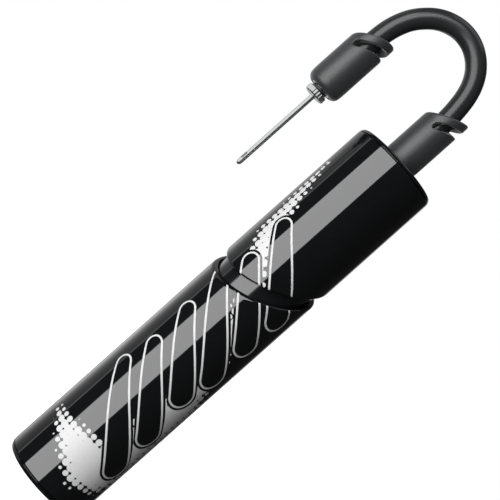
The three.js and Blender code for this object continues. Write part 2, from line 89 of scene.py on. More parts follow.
GUIDE_SEAT_LOW = 11.7
GUIDE_SEAT_HIGH = 17.3
GROOVE_LOW = 100.35
GROOVE_HIGH = 105.55
GROOVE_SLOPE = 0.596
GROOVE_TURN = math.radians(46)

HOSE_RADIUS = 3.7
HOSE_ROUTE = [
    (0, 163.8),
    (0, 170),
    (0, 177),
    (-0.1, 183.3),
    (-0.7, 188.6),
    (-1.6, 193.1),
    (-3.2, 197.4),
    (-5.8, 201.3),
    (-9.4, 204.4),
    (-13.8, 206.4),
    (-18.7, 206.9),
    (-23.5, 205.8),
    (-27.8, 203.4),
    (-31.3, 199.8),
    (-33.7, 196.1),
    (-35.2, 192.2),
    (-36.1, 188.3),
    (-36.5, 183.5),
    (-36.5, 177),
    (-36.5, 171.5),
    (-36.5, 166.3),
]
BOOT_RADIUS = 6.8
BOOT_LENGTH = 24.5
BOOT_SLOPE = 0.53
BOOT_LEVEL_TOP = 16
BOOT_FOOT_HOLE = 4.4
BOOT_NECK_HOLE = 4.05
BOOT_CHAMBER_RADIUS = 5.35
BOOT_CHAMBER_LOW = 2.2
BOOT_CHAMBER_HIGH = 14.8
PUMP_BOOT_Z = 159.0
NEEDLE_X = -36.5
NEEDLE_BOOT_Z = 157.7
NEEDLE_BOOT_TURN = math.radians(-20)
NEEDLE_TIP = 120.0
NEEDLE_RADIUS = 1.0
NEEDLE_BORE = 0.6
NEEDLE_TOP = 160.4
NEEDLE_PITCH = 0.794
HOSE_THREAD_PITCH = 1.0

# ---------------------------------------------------------------- camera

CAMERA_PLACE = Vector((-11.6, -403.6, 103.7)) * MM
CAMERA_ROLL = math.radians(48.31)
CAMERA_LENS = 85.46
CAMERA_SENSOR = 36


def make_camera():
    """A camera that looks straight along +Y, rolled so that the pump lies aslant."""
    data = bpy.data.cameras.new("camera")
    data.lens = CAMERA_LENS
    data.sensor_width = CAMERA_SENSOR
    camera = bpy.data.objects.new("camera", data)
    right = Vector((math.cos(CAMERA_ROLL), 0, math.sin(CAMERA_ROLL)))
    up = Vector((-math.sin(CAMERA_ROLL), 0, math.cos(CAMERA_ROLL)))
    turn = Matrix((right, up, Vector((0, -1, 0)))).transposed()
    camera.matrix_world = Matrix.Translation(CAMERA_PLACE) @ turn.to_4x4()
    bpy.context.scene.collection.objects.link(camera)
    bpy.context.scene.camera = camera


make_camera()

# ---------------------------------------------------------------- mesh helpers

SHARP_ANGLE = math.radians(35)
# How much of a side a round may take, where its size is given and where it isn't.
GIVEN_ROUND_SHARE = 0.85
PLAIN_ROUND_SHARE = 0.45
LARGE_ROUND = 0.8
# How near an outline's added points are to the ends of a long side.
HOLD = 0.25
THREAD_ROOT_ROUND = 0.05
THREAD_CREST_ROUND = 0.08


def made(name, points, faces, material, body, slot):
    """A smooth-shaded mesh object of millimetre points that rides on a CAD body."""
    mesh = bpy.data.meshes.new(name)
    mesh.from_pydata([Vector(p) * MM for p in points], [], faces)
    mesh.validate()
    mesh.shade_smooth()
    mesh.set_sharp_from_angle(angle=SHARP_ANGLE)
    mesh.materials.append(material)
    obj = bpy.data.objects.new(name, mesh)
    bpy.context.scene.collection.objects.link(obj)
    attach(obj, body)
    return obj


def eased(outline, closed, corner, steps=4):
    """Rounds an outline's corners. A point is (radius, z) or (radius, z, size of its round)."""
    count = len(outline)
    result = []
    for i, point in enumerate(outline):
        here = Vector(point[:2])
        size = point[2] if len(point) > 2 else corner
        if (not closed and i in (0, count - 1)) or size == 0:
            result.append(tuple(here))
            continue
        back = Vector(outline[i - 1][:2]) - here
        ahead = Vector(outline[(i + 1) % count][:2]) - here
        most = GIVEN_ROUND_SHARE if len(point) > 2 else PLAIN_ROUND_SHARE
        start = here + back.normalized() * min(size, back.length * most)
        end = here + ahead.normalized() * min(size, ahead.length * most)
        arc = steps * 2 if size > LARGE_ROUND else steps
        for j in range(arc + 1):
            t = j / arc
            result.append(tuple(start * (1 - t) ** 2 + here * 2 * t * (1 - t) + end * t * t))
    return result


def held(outline, closed):
    """Adds a point near each end of every long straight side, so that the smooth shading of a
    round stays at the round."""
    result = []
    ends = outline[1:] + outline[:1] if closed else outline[1:]
    for a, b in zip(outline, ends):
        here, there = Vector(a), Vector(b)
        reach = (there - here).length
        result.append(a)
        if reach > 4 * HOLD:
            result.append(tuple(here.lerp(there, HOLD / reach)))
            result.append(tuple(there.lerp(here, HOLD / reach)))
    return result if closed else result + [outline[-1]]


def turned(outline, sides, closed=True, corner=0.15, warp=None):
    """Points and faces of an outline turned about +Z. The outline runs anticlockwise."""
    rings = []
    points = []
    for radius, z in held(eased(outline, closed, corner), closed):
        if radius == 0:
            rings.append([len(points)])
            points.append((0, 0, z))
            continue
        rings.append(list(range(len(points), len(points) + sides)))
        for j in range(sides):
            angle = 2 * math.pi * j / sides
            points.append((radius * math.cos(angle), radius * math.sin(angle), z))
    faces = []
    pairs = list(zip(rings, rings[1:] + rings[:1] if closed else rings[1:]))
    for low, high in pairs:
        for j in range(sides):
            k = (j + 1) % sides
            if len(low) == 1:
                faces.append((low[0], high[k], high[j]))
            elif len(high) == 1:
                faces.append((low[j], low[k], high[0]))
            else:
                faces.append((low[j], low[k], high[k], high[j]))
    if warp:
        points = [warp(*p) for p in points]
    return points, faces


def groove_slant(is_end):
    """A warp that raises the points of one end along the parting groove's slope."""

    def warp(x, y, z):
        rise = GROOVE_SLOPE * (x * math.cos(GROOVE_TURN) + y * math.sin(GROOVE_TURN))
        return (x, y, z + rise if is_end(z) else z)

    return warp


def threaded(radius, depth, low, high, pitch):
    """Outline points up the side of a thread of V grooves."""
    turns = int((high - low) / pitch)
    points = []
    for i in range(turns):
        z = low + i * pitch
        points.append((radius - depth, z, THREAD_ROOT_ROUND))
        points.append((radius, z + pitch / 2, THREAD_CREST_ROUND))
    return points + [(radius - depth, low + turns * pitch, THREAD_ROOT_ROUND)]


# ---------------------------------------------------------------- material helpers


class Num:
    """A socket of a node graph that can be used in ordinary arithmetic."""

    def __init__(self, graph, socket):
        self.graph = graph
        self.socket = socket

    def __add__(self, other):
        return self.graph.math("ADD", self, other)

    def __sub__(self, other):
        return self.graph.math("SUBTRACT", self, other)

    def __rsub__(self, other):
        return self.graph.math("SUBTRACT", other, self)

    def __mul__(self, other):
        return self.graph.math("MULTIPLY", self, other)

    def __truediv__(self, other):
        return self.graph.math("DIVIDE", self, other)


class Graph:
    """A new material and the nodes that feed its Principled shader."""

    def __init__(self, name, **settings):
        self.material = bpy.data.materials.new(name)
        self.material.use_nodes = True
        self.tree = self.material.node_tree
        self.shader = self.tree.nodes["Principled BSDF"]
        for key, value in settings.items():
            self.shader.inputs[key.replace("_", " ")].default_value = value
        coords = self.tree.nodes.new("ShaderNodeTexCoord")
        self.object = coords.outputs["Object"]
        self.uv = coords.outputs["UV"]

    def feed(self, socket, value):
        if isinstance(value, Num):
            value = value.socket
        if isinstance(value, bpy.types.NodeSocket):
            self.tree.links.new(value, socket)
        else:
            socket.default_value = value

    def node(self, kind, inputs, **settings):
        made_node = self.tree.nodes.new("ShaderNode" + kind)
        for key, value in settings.items():
            setattr(made_node, key, value)
        for key, value in inputs.items():
            self.feed(made_node.inputs[key], value)
        return made_node

    def math(self, operation, *values, clamp=False):
        inputs = dict(enumerate(values))
        made_node = self.node("Math", inputs, operation=operation, use_clamp=clamp)
        return Num(self, made_node.outputs[0])

    def split(self, vector):
        """The three parts of a vector, as numbers."""
        parts = self.node("SeparateXYZ", {0: vector}).outputs
        return [Num(self, part) for part in parts]

    def largest(self, a, b):
        return self.math("MAXIMUM", a, b)

    def smallest(self, a, b):
        return self.math("MINIMUM", a, b)

    def length(self, a, b):
        return self.math("SQRT", a * a + b * b)

    def step(self, value, softness):
        """0 where value is negative, 1 where positive, with a narrow ramp between."""
        return self.math("ADD", value / softness, 0.5, clamp=True)

    def noise(self, scale, detail=3, vector=None, roughness=0.5):
        inputs = {
            "Vector": vector or self.object,
            "Scale": scale,
            "Detail": detail,
            "Roughness": roughness,
        }
        return Num(self, self.node("TexNoise", inputs).outputs[0])

    def span(self, value, low, high):
        """Maps 0 to 1 onto low to high."""
        inputs = {"Value": value, "To Min": low, "To Max": high}
        return Num(self, self.node("MapRange", inputs).outputs[0])

    def blend(self, amount, a, b):
        """Mixes two colours."""
        inputs = {"Factor": amount, 6: a, 7: b}
        mixed = self.node("Mix", inputs, data_type="RGBA")
        return mixed.outputs[2]

    def bump(self, height, depth_mm, strength=1.0, below=None):
        inputs = {"Height": height, "Distance": depth_mm * MM, "Strength": strength}
        if below is not None:
            inputs["Normal"] = below
        return self.node("Bump", inputs).outputs[0]

    def set(self, **inputs):
        for key, value in inputs.items():
            self.feed(self.shader.inputs[key.replace("_", " ")], value)
        return self.material


def grey(value, blue=0.0):
    return (value, value + blue * 0.4, value + blue, 1)


# ---------------------------------------------------------------- sleeve print

# The print is drawn on the unrolled sleeve, across (s, towards +X from the middle of the
# front) and up (z), both in mm. It is on the front and again on the back.
BAR_COUNT = 6
BAR_FIRST_Z = 36.0
BAR_RISE = 14.2
BAR_ANGLE = math.radians(-43)
BAR_HALF_LENGTH = 16.5
BAR_RADIUS = 3.6
BAR_TAPER = 0.045
# The bars differ a little. Each one's shift along its own line and its length follow a sine
# of its number.
BAR_SHIFT = 2.2
BAR_LENGTH_CHANGE = 2.6
LINE_HALF_WIDTH = 0.33
LINE_SOFTNESS = 0.12
BORDER_WIDTH = 1.15
DOT_PITCH = 2.55
DOT_FILL = 0.82
DOT_SOFTNESS = 0.15
FIELD_REACH = 1.5
FIELD_FADE = 7.0
# Tapered strokes of the dotted field: two ends, each (s, z, radius).
FIELD_STROKES = [
    ((-21.5, 143, 0.6), (-13.5, 113, 4.4)),
    ((-13.5, 113, 4.4), (1, 90, 4)),
    ((1, 90, 4), (8, 76, 2.5)),
    ((8, 76, 2.5), (13, 64, 3)),
    ((13, 64, 3), (14, 52, 8)),
    ((14, 52, 8), (12, 20, 10)),
    ((-18.4, 21.5, 0.3), (6, 18, 9.5)),
]
PRINT_LOW = 3.0
PRINT_HIGH = 157.0
PRINT_DEPTH = 0.35
PRINT_SOFTNESS = 0.1


def stroke_distance(g, s, z, start, end):
    """Distance to the edge of a tapered round-ended stroke, negative inside it."""
    across = end[0] - start[0]
    up = end[1] - start[1]
    along = (s - start[0]) * across + (z - start[1]) * up
    t = g.math("DIVIDE", along, across**2 + up**2, clamp=True)
    off = g.length(s - start[0] - t * across, z - start[1] - t * up)
    return off - start[2] - t * (end[2] - start[2])


def bar_distance(g, s, z):
    """Distance to the edge of the nearest slanted bar, negative inside it."""
    cos, sin = math.cos(BAR_ANGLE), math.sin(BAR_ANGLE)
    along = s * cos + z * sin
    across = z * cos - s * sin
    pitch = BAR_RISE * cos
    index = g.math("ROUND", (across - BAR_FIRST_Z * cos) / pitch)
    index = g.smallest(g.largest(index, 0), BAR_COUNT - 1)
    off = across - BAR_FIRST_Z * cos - index * pitch
    shift = g.math("SINE", index * 1.7 + 0.4) * BAR_SHIFT
    reach = g.math("SINE", index * 2.3 + 1) * BAR_LENGTH_CHANGE + BAR_HALF_LENGTH
    place = along - (index * BAR_RISE + BAR_FIRST_Z) * sin - shift
    beyond = g.largest(g.math("ABSOLUTE", place) - reach, 0)
    return g.length(beyond, off) - BAR_RADIUS - place * BAR_TAPER


def print_mask(g):
    """1 where there is pale ink on the outside of the sleeves."""
    x, y, z = [part * (1 / MM) for part in g.split(g.object)]
    turn = g.math("ARCTAN2", x, 0 - y)
    turn = turn - g.math("ROUND", turn / math.pi) * math.pi
    s = turn * BODY_RADIUS
    field = None
    for start, end in FIELD_STROKES:
        stroke = stroke_distance(g, s, z, start, end)
        field = g.smallest(field, stroke) if field else stroke
    amount = g.math("DIVIDE", FIELD_REACH - field, FIELD_FADE, clamp=True)
    dot_radius = g.math("SQRT", amount) * DOT_PITCH * DOT_FILL
    cell_s = s - g.math("ROUND", s / DOT_PITCH) * DOT_PITCH
    cell_z = z - g.math("ROUND", z / DOT_PITCH) * DOT_PITCH
    dots = g.step(dot_radius - DOT_SOFTNESS - g.length(cell_s, cell_z), DOT_SOFTNESS)
    bars = bar_distance(g, s, z)
    line = g.step(LINE_HALF_WIDTH - g.math("ABSOLUTE", bars), LINE_SOFTNESS)
    clear = g.step(bars - BORDER_WIDTH, LINE_SOFTNESS)
    ink = g.largest(line, dots * clear)
    outside = g.step(g.length(x, y) - BODY_RADIUS + PRINT_DEPTH, PRINT_SOFTNESS)
    above = g.step(z - PRINT_LOW, PRINT_SOFTNESS)
    below = g.step(PRINT_HIGH - z, PRINT_SOFTNESS)
    return ink * outside * (above * below)


# ---------------------------------------------------------------- materials


def shell_material():
    """High-gloss black plastic with the pale print on its outside."""
    g = Graph("shell_black", IOR=1.5)
    ink = print_mask(g)
    wear = g.noise(220, 5)
    black = g.blend(wear, grey(0.0022, 0.0004), grey(0.0034, 0.0006))
    pale = g.blend(g.noise(1400, 4), grey(0.35), grey(0.41))
    ripple = g.bump(g.noise(650, 1), 0.002, 0.4)
    gloss = g.span(wear, 0.035, 0.065)
    roughness = gloss + ink * g.span(g.noise(2600, 3), 0.42, 0.56)
    return g.set(
        Base_Color=g.blend(ink, black, pale),
        Roughness=roughness,
        Normal=g.bump(ink, 0.012, 0.5, ripple),
    )


def tube_material():
    """Gloss black with fine streaks along the tube."""
    g = Graph("tube_black", IOR=1.5)
    wear = g.noise(260, 5)
    x, y, z = g.split(g.object)
    stretched = g.node("CombineXYZ", {0: x, 1: y, 2: z * 0.04}).outputs[0]
    streaks = g.noise(2400, 4, stretched)
    return g.set(
        Base_Color=g.blend(wear, grey(0.003, 0.0005), grey(0.005, 0.0008)),
        Roughness=g.span(streaks, 0.07, 0.17),
        Normal=g.bump(streaks, 0.002, 0.35),
    )


def plastic_material(name, value, blue, roughness, grain_scale):
    """Moulded plastic with a fine spark-eroded grain."""
    g = Graph(name, IOR=1.5)
    cloud = g.noise(180, 4)
    grain = g.noise(grain_scale, 3)
    return g.set(
        Base_Color=g.blend(cloud, grey(value * 0.85, blue), grey(value * 1.15, blue)),
        Roughness=g.span(grain, roughness - 0.08, roughness + 0.08),
        Normal=g.bump(grain, 0.02, 0.5),
    )


def boot_material():
    """Matte moulded rubber: fine grain, and faint pale bloom in patches."""
    g = Graph(
        "boot_rubber", IOR=1.5, Specular_IOR_Level=0.38, Sheen_Weight=0.2, Sheen_Roughness=0.4
    )
    bloom = g.noise(260, 5, roughness=0.6)
    grain = g.noise(4200, 3)
    pits = g.node("TexVoronoi", {"Vector": g.object, "Scale": 2400.0})
    height = grain + Num(g, pits.outputs["Distance"]) * 0.6
    return g.set(
        Base_Color=g.blend(bloom, grey(0.013, 0.0015), grey(0.021, 0.002)),
        Roughness=g.span(grain, 0.36, 0.47),
        Normal=g.bump(height, 0.05, 0.8),
    )


def seal_material():
    """Smooth rubber with a thin film of grease."""
    g = Graph("seal_rubber", IOR=1.5)
    film = g.noise(900, 4)
    return g.set(
        Base_Color=g.blend(film, grey(0.015), grey(0.026)),
        Roughness=g.span(film, 0.38, 0.6),
        Normal=g.bump(g.noise(3500, 3), 0.012, 0.5),
    )


BRAID_STRANDS = 16


def hose_material():
    """Fine two-way braid under a clear skin. The UV map is the angle and the arc length, both
    in turns of the hose."""
    g = Graph("hose_cover", IOR=1.45, Specular_IOR_Level=0.33)
    along, angle, _ = g.split(g.uv)
    one_way = (angle + along) * (BRAID_STRANDS * 2 * math.pi)
    other_way = (angle - along) * (BRAID_STRANDS * 2 * math.pi)
    one = g.math("SINE", one_way)
    other = g.math("SINE", other_way)
    over = g.math("SINE", (one_way + other_way) * 0.5) * g.math("SINE", (one_way - other_way) * 0.5)
    choose = g.step(over, 0.4)
    strand = one * choose + other * (1 - choose)
    height = g.span(strand, 0, 0.5) + g.noise(2600, 3) * 0.3
    return g.set(
        # The base colour follows the braid's height: painted shade, darker in the grooves between
        # the strands and lighter on their crests.
        Base_Color=g.blend(g.span(strand, 0.5, 1), grey(0.005, 0.0005), grey(0.016, 0.0015)),
        Roughness=g.span(g.noise(1800, 3), 0.2, 0.29),
        Normal=g.bump(height, 0.03, 0.4),
    )


def metal_material(name, colour, tarnish, low, high, brushing, depth_mm=0.004):
    """Plated or turned metal. Brushing is how far the polishing lines run round the piece."""
    g = Graph(name, Metallic=1.0)
    cloud = g.noise(500, 5)
    x, y, z = g.split(g.object)
    rings = g.node("CombineXYZ", {0: x * brushing, 1: y * brushing, 2: z}).outputs[0]
    lines = g.noise(16000, 3, rings)
    return g.set(
        Base_Color=g.blend(g.span(cloud, 0, 0.5), colour, tarnish),
        Roughness=g.span(lines, low, high),
        Normal=g.bump(lines, depth_mm, 0.3),
    )


MATERIALS = {
    "shell_black": shell_material(),
    "tube_black": tube_material(),
    "inner_plastic": plastic_material("inner_plastic", 0.05, 0.004, 0.45, 3000),
    "nylon": plastic_material("nylon", 0.12, 0.006, 0.5, 2200),
    "boot_rubber": boot_material(),
    "seal_rubber": seal_material(),
    "hose_cover": hose_material(),
    "brass": metal_material(
        "brass", (0.69, 0.53, 0.28, 1), (0.52, 0.37, 0.17, 1), 0.18, 0.34, 0.05
    ),
    "nickel": metal_material(
        "nickel", (0.78, 0.79, 0.8, 1), (0.66, 0.66, 0.64, 1), 0.23, 0.28, 0.05, 0.0003
    ),
    "steel": metal_material(
        "steel", (0.55, 0.56, 0.57, 1), (0.42, 0.42, 0.42, 1), 0.22, 0.4, 0.05
    ),
}

for part in frame["record"]["subparts"]:
    node_mesh = frame["nodes"][part["node"]].data
    node_mesh.materials.clear()
    node_mesh.materials.append(MATERIALS[part["material_slot"]])

SLOTS = {part["node"]: part["material_slot"] for part in frame["record"]["subparts"]}
BODIES = {
    node: body
    for body, members in frame["record"]["behaviour"]["bodies"].items()
    for node in members
}


def piece(node, shape):
    """A detailed piece that stands for one CAD node, from its points and faces."""
    points, faces = shape
    slot = SLOTS[node]
    obj = made(node + "_look", points, faces, MATERIALS[slot], BODIES[node], slot)
    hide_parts(node)
    return obj


# ---------------------------------------------------------------- hose

HOSE_RINGS = 460
HOSE_SIDES = 64
ROUTE_STEPS = 60
ROUTE_SMOOTHINGS = 250


def hose_line():
    """Evenly spaced points of a smoothed centripetal Catmull-Rom curve along the route, and
    its length."""
    knots = [Vector(p) for p in HOSE_ROUTE]
    knots = [knots[0] * 2 - knots[1]] + knots + [knots[-1] * 2 - knots[-2]]
    fine = []
    for p0, p1, p2, p3 in zip(knots, knots[1:], knots[2:], knots[3:]):
        d0, d1, d2 = [math.sqrt((b - a).length) for a, b in ((p0, p1), (p1, p2), (p2, p3))]
        t1 = ((p1 - p0) / d0 - (p2 - p0) / (d0 + d1) + (p2 - p1) / d1) * d1
        t2 = ((p2 - p1) / d1 - (p3 - p1) / (d1 + d2) + (p3 - p2) / d2) * d1
        for i in range(ROUTE_STEPS):
            t = i / ROUTE_STEPS
            fine.append(
                p1
                + t1 * t
                + (p1 * -3 + p2 * 3 - t1 * 2 - t2) * t**2
                + (p1 * 2 - p2 * 2 + t1 + t2) * t**3
            )
    fine.append(knots[-2])
    for _ in range(ROUTE_SMOOTHINGS):
        middle = [(a + b * 2 + c) / 4 for a, b, c in zip(fine, fine[1:], fine[2:])]
        fine = [fine[0]] + middle + [fine[-1]]
    run = [0.0]
    for a, b in zip(fine, fine[1:]):
        run.append(run[-1] + (b - a).length)
    even = []
    at = 0
    for i in range(HOSE_RINGS):
        want = run[-1] * i / (HOSE_RINGS - 1)
        while at < len(run) - 2 and run[at + 1] < want:
            at += 1
        share = (want - run[at]) / (run[at + 1] - run[at])
        even.append(fine[at].lerp(fine[at + 1], share))
    return even, run[-1]


def make_hose():
    """The hose as a tube of one smooth mesh, and its middle line in metres."""
    line, length = hose_line()
    points, faces, uvs = [], [], []
    around = 2 * math.pi * HOSE_RADIUS
    for i, centre in enumerate(line):
        tangent = (line[min(i + 1, len(line) - 1)] - line[max(i - 1, 0)]).normalized()
        side = Vector((tangent.y, -tangent.x))
        for j in range(HOSE_SIDES):
            angle = 2 * math.pi * j / HOSE_SIDES
            out = centre + side * (HOSE_RADIUS * math.cos(angle))
            points.append((out.x, HOSE_RADIUS * math.sin(angle), out.y))
    for i in range(len(line) - 1):
        for j in range(HOSE_SIDES):
            k = (j + 1) % HOSE_SIDES
            low, high = i * HOSE_SIDES, (i + 1) * HOSE_SIDES
            faces.append((low + j, low + k, high + k, high + j))
            near = length * i / (len(line) - 1) / around
            far = length * (i + 1) / (len(line) - 1) / around
            a, b = j / HOSE_SIDES, (j + 1) / HOSE_SIDES
            uvs += [(near, a), (near, b), (far, b), (far, a)]
    last = len(points) - HOSE_SIDES
    faces.append(tuple(range(HOSE_SIDES - 1, -1, -1)))
    faces.append(tuple(range(last, last + HOSE_SIDES)))
    uvs += [(0.0, 0.0)] * (2 * HOSE_SIDES)
    obj = piece("hose", (points, faces))
    layer = obj.data.uv_layers.new(name="run")
    for loop, uv in zip(layer.data, uvs):
        loop.uv = uv
    path = [(p.x * MM, 0.0, p.y * MM) for p in line]
    return obj, path


hose, hose_path = make_hose()

# ---------------------------------------------------------------- shells and tube

SHELL_SIDES = 256


def make_shells():
    """The two shells with their end caps, and the inner tube that shows in the groove."""
    low = SEAM + SEAM_GAP
    sleeve = [
        (SHELL_BORE, low),
        (BODY_RADIUS, low, SMALL_ROUND),
        (BODY_RADIUS, GROOVE_LOW, EDGE_ROUND),
        (SHELL_BORE, GROOVE_LOW, SMALL_ROUND),
    ]
    slant = groove_slant(lambda z: z > GROOVE_LOW / 2)
    piece("handle_sleeve", turned(sleeve, SHELL_SIDES, warp=slant))
    cap = [
        (SCREW_RECESS_RADIUS, 0, 0.3),
        (BODY_RADIUS - RIM_SET_BACK, 0, RIM_ROUND),
        (BODY_RADIUS - SEAM_SET_BACK, SEAM, 0.15),
        (SKIRT_RADIUS, SEAM),
        (SKIRT_RADIUS, SEAM + HANDLE_SKIRT_HEIGHT, SKIRT_ROUND),
        (SKIRT_BORE, SEAM + HANDLE_SKIRT_HEIGHT, SKIRT_ROUND),
        (SKIRT_BORE, low),
        (BOSS_RADIUS, low),
        (BOSS_RADIUS, BOSS_TOP),
        (ROD_SOCKET_RADIUS, BOSS_TOP),
        (ROD_SOCKET_RADIUS, ROD_SOCKET_LOW),
        (SCREW_HOLE_RADIUS, ROD_SOCKET_LOW),
        (SCREW_HOLE_RADIUS, SCREW_RECESS_TOP),
        (SCREW_RECESS_RADIUS, SCREW_RECESS_TOP),
    ]
    piece("handle_end_cap", turned(cap, SHELL_SIDES))
    top = BODY_LENGTH - SEAM
    sleeve = [
        (SHELL_BORE, GROOVE_HIGH, SMALL_ROUND),
        (BODY_RADIUS, GROOVE_HIGH, EDGE_ROUND),
        (BODY_RADIUS, top, SMALL_ROUND),
        (SHELL_BORE, top),
    ]
    slant = groove_slant(lambda z: z < (GROOVE_HIGH + top) / 2)
    piece("head_sleeve", turned(sleeve, SHELL_SIDES, warp=slant))
    cap = [
        (HOSE_HOLE_RADIUS, top - 2 * SEAM_GAP),
        (SKIRT_BORE, top - 2 * SEAM_GAP),
        (SKIRT_BORE, HEAD_SKIRT_LOW, SKIRT_ROUND),
        (SKIRT_RADIUS, HEAD_SKIRT_LOW, SKIRT_ROUND),
        (SKIRT_RADIUS, top + SEAM_GAP),
        (BODY_RADIUS - SEAM_SET_BACK, top + SEAM_GAP, 0.15),
        (BODY_RADIUS - RIM_SET_BACK, BODY_LENGTH, RIM_ROUND),
        (HOSE_HOLE_RADIUS, BODY_LENGTH, 0.5),
    ]
    piece("head_end_cap", turned(cap, SHELL_SIDES))
    tube = [
        (TUBE_BORE, TUBE_LOW),
        (TUBE_RADIUS, TUBE_LOW, TUBE_EDGE_ROUND),
        (TUBE_RADIUS, GUIDE_SEAT_LOW),
        (GUIDE_SEAT_RADIUS, GUIDE_SEAT_LOW),
        (GUIDE_SEAT_RADIUS, GUIDE_SEAT_HIGH),
        (TUBE_RADIUS, GUIDE_SEAT_HIGH),
        (TUBE_RADIUS, TUBE_HIGH, TUBE_EDGE_ROUND),
        (TUBE_BORE, TUBE_HIGH),
    ]
    piece("barrel_tube", turned(tube, SHELL_SIDES))


make_shells()

# ---------------------------------------------------------------- boots

BOOT_SLOT_LOW = 18.2
BOOT_SLOT_HIGH = 21.1
BOOT_SLOT_START = -97
BOOT_SLOT_SWEEP = 189
SLOT_STEPS = 60
SLOT_END_STEPS = 12
SLOT_LEAST_REACH = 0.02
SLOT_INSIDE = HOSE_RADIUS - 0.2
SLOT_OUTSIDE = BOOT_RADIUS + 1.5
BOOT_VOXEL = 0.22
BOOT_SIDES = 96
SOFTEN_FACTOR = 0.5
SOFTEN_PASSES = 7


def slot_cutter():
    """The boot's slot: a slanted sector with round ends, as points and faces."""
    half = (BOOT_SLOT_HIGH - BOOT_SLOT_LOW) / 2
    middle = (BOOT_SLOT_HIGH + BOOT_SLOT_LOW) / 2
    start = math.radians(BOOT_SLOT_START)
    sweep = math.radians(BOOT_SLOT_SWEEP)
    overrun = half / BOOT_RADIUS
    columns = []
    for i in range(SLOT_END_STEPS + 1):
        turn = math.pi / 2 * i / SLOT_END_STEPS
        columns.append((start - overrun * math.cos(turn), half * math.sin(turn)))
    for i in range(1, SLOT_STEPS):
        columns.append((start + sweep * i / SLOT_STEPS, half))
    for i in range(SLOT_END_STEPS + 1):
        turn = math.pi / 2 * (1 - i / SLOT_END_STEPS)
        columns.append((start + sweep + overrun * math.cos(turn), half * math.sin(turn)))
    points = []
    for angle, reach in columns:
        reach = max(reach, SLOT_LEAST_REACH)
        for radius in (SLOT_INSIDE, SLOT_OUTSIDE):
            x, y = radius * math.cos(angle), radius * math.sin(angle)
            centre = middle + BOOT_SLOPE * BOOT_RADIUS * math.cos(angle)
            points += [(x, y, centre - reach), (x, y, centre + reach)]
    faces = [(0, 2, 3, 1)]
    for i in range(len(columns) - 1):
        a, b = i * 4, (i + 1) * 4
        for p, q in ((0, 1), (1, 3), (3, 2), (2, 0)):
            faces.append((a + p, a + q, b + q, b + p))
    end = (len(columns) - 1) * 4
    faces.append((end, end + 1, end + 3, end + 2))
    return points, faces


def cut_out(obj, shape):
    """Adds a boolean cut of a closed shape to an object."""
    points, faces = shape
    mesh = bpy.data.meshes.new("cutter")
    mesh.from_pydata([Vector(p) * MM for p in points], [], faces)
    mesh.validate()
    cut = obj.modifiers.new("cut", "BOOLEAN")
    cut.object = bpy.data.objects.new("cutter", mesh)
    cut.solver = "EXACT"
    bpy.context.scene.collection.objects.link(cut.object)


def settle(obj):
    """Applies an object's modifiers and removes the cutters."""
    view = bpy.context.evaluated_depsgraph_get()
    final = bpy.data.meshes.new_from_object(obj.evaluated_get(view))
    for modifier in obj.modifiers:
        if modifier.type == "BOOLEAN":
            bpy.data.objects.remove(modifier.object)
    obj.modifiers.clear()
    obj.data = final
    final.shade_smooth()


def boot_shape():
    """A boot's body, standing on its foot. Its top is cut on a slant."""
    outline = [
        (BOOT_FOOT_HOLE, 0, 0.3),
        (BOOT_RADIUS - 0.4, 0.7, 1.7),
        (BOOT_RADIUS, 3.3, 1.3),
        (BOOT_RADIUS, BOOT_LENGTH, 1.0),
        (BOOT_NECK_HOLE, BOOT_LENGTH, 0.4),
        (BOOT_NECK_HOLE, BOOT_CHAMBER_HIGH),
        (BOOT_CHAMBER_RADIUS, BOOT_CHAMBER_HIGH),
        (BOOT_CHAMBER_RADIUS, BOOT_CHAMBER_LOW),
        (BOOT_FOOT_HOLE, BOOT_CHAMBER_LOW),
    ]

    def warp(x, y, z):
        """Slants the boot's upper part."""
        return (x, y, z + BOOT_SLOPE * x if z > BOOT_LEVEL_TOP else z)

    return turned(outline, BOOT_SIDES, warp=warp)


def make_boots():
    """The boot on the head, and its copy on the needle's end of the hose."""
    boot = piece("pump_boot", boot_shape())
    cut_out(boot, slot_cutter())
    remesh = boot.modifiers.new("skin", "REMESH")
    remesh.mode = "VOXEL"
    remesh.voxel_size = BOOT_VOXEL * MM
    remesh.use_smooth_shade = True
    soften = boot.modifiers.new("soften", "SMOOTH")
    soften.factor = SOFTEN_FACTOR
    soften.iterations = SOFTEN_PASSES
    settle(boot)
    other = bpy.data.objects.new("needle_boot_look", boot.data.copy())
    bpy.context.scene.collection.objects.link(other)
    place = Matrix.Translation(Vector((NEEDLE_X, 0, NEEDLE_BOOT_Z)) * MM)
    other.data.transform(place @ Matrix.Rotation(NEEDLE_BOOT_TURN, 4, "Z"))
    boot.data.transform(Matrix.Translation(Vector((0, 0, PUMP_BOOT_Z)) * MM))
    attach(other, "hose")
    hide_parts("needle_boot")
    return boot, other


pump_boot, needle_boot = make_boots()

# ---------------------------------------------------------------- fittings and needle

FITTING_SIDES = 64
FITTING_BORE = 1.2
FITTING_LOW = 140.3
FITTING_HIGH = 163.5
FITTING_LEAD_RADIUS = 3.1
FITTING_RELIEF_RADIUS = 3.2
FITTING_THREAD_RADIUS = 3.6
FITTING_THREAD_DEPTH = 0.35
FITTING_THREAD_LOW = 141.2
FITTING_THREAD_HIGH = 151.5
SHOULDER_RADIUS = 5
SHOULDER_LOW = 153.2
SHOULDER_HIGH = 157
NECK_RADIUS = 4.1
FLANGE_RADIUS = 4.9
FLANGE_LOW = 161.5


